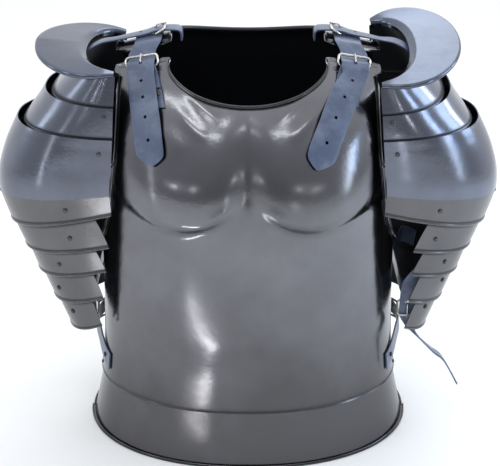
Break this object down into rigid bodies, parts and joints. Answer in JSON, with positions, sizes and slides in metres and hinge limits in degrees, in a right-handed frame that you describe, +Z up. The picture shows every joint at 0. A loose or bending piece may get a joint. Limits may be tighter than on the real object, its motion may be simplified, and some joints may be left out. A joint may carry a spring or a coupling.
{
  "type": "breastplate",
  "caption": "Steel muscle breastplate with backplate, flared skirt, shoulder caps of riveted lames with neck guards, and buckled leather straps.",
  "frame": {"origin": "middle of the footprint, on the plane that the skirt's rim stands on", "axes": "+X is the viewer's right across the shoulders, +Y is the back, +Z is up; the front faces -Y"},
  "size_m": [0.6308, 0.3068, 0.5341],
  "materials": {
    "blued_steel": "darkened polished steel",
    "black_leather": "glossy black leather",
    "buckle_metal": "bright nickelled steel"
  },
  "bodies": {
    "root": {"breastplate": "blued_steel", "backplate": "blued_steel", "skirt_front": "blued_steel", "skirt_back": "blued_steel", "left_neck_guard": "blued_steel", "left_lame_1": "blued_steel", "left_lame_2": "blued_steel", "left_lame_3": "blued_steel", "left_lame_4": "blued_steel", "left_lame_5": "blued_steel", "left_lame_6": "blued_steel", "left_lame_7": "blued_steel", "left_lame_leather": "black_leather", "left_rivet_lame_2": "blued_steel", "left_rivet_lame_3_upper": "blued_steel", "left_rivet_lame_3": "blued_steel", "left_rivet_lame_4": "blued_steel", "left_rivet_lame_5": "blued_steel", "left_rivet_lame_6": "blued_steel", "left_rivet_lame_7": "blued_steel", "left_shoulder_chape": "black_leather", "left_shoulder_buckle": "buckle_metal", "left_shoulder_strap": "black_leather", "left_chape_rivet": "blued_steel", "left_pauldron_strap": "black_leather", "left_pauldron_buckle": "buckle_metal", "left_side_strap": "black_leather", "left_side_buckle": "buckle_metal", "left_side_rivet_front": "blued_steel", "left_side_rivet_back": "blued_steel", "left_arm_strap": "black_leather", "left_arm_buckle": "buckle_metal", "right_neck_guard": "blued_steel", "right_lame_1": "blued_steel", "right_lame_2": "blued_steel", "right_lame_3": "blued_steel", "right_lame_4": "blued_steel", "right_lame_5": "blued_steel", "right_lame_6": "blued_steel", "right_lame_7": "blued_steel", "right_lame_leather": "black_leather", "right_rivet_lame_2": "blued_steel", "right_rivet_lame_3_upper": "blued_steel", "right_rivet_lame_3": "blued_steel", "right_rivet_lame_4": "blued_steel", "right_rivet_lame_5": "blued_steel", "right_rivet_lame_6": "blued_steel", "right_rivet_lame_7": "blued_steel", "right_shoulder_chape": "black_leather", "right_shoulder_buckle": "buckle_metal", "right_shoulder_strap": "black_leather", "right_chape_rivet": "blued_steel", "right_pauldron_strap": "black_leather", "right_pauldron_buckle": "buckle_metal", "right_side_strap": "black_leather", "right_side_buckle": "buckle_metal", "right_side_rivet_front": "blued_steel", "right_side_rivet_back": "blued_steel", "right_arm_strap": "black_leather", "right_arm_buckle": "buckle_metal"}
  },
  "joints": []
}
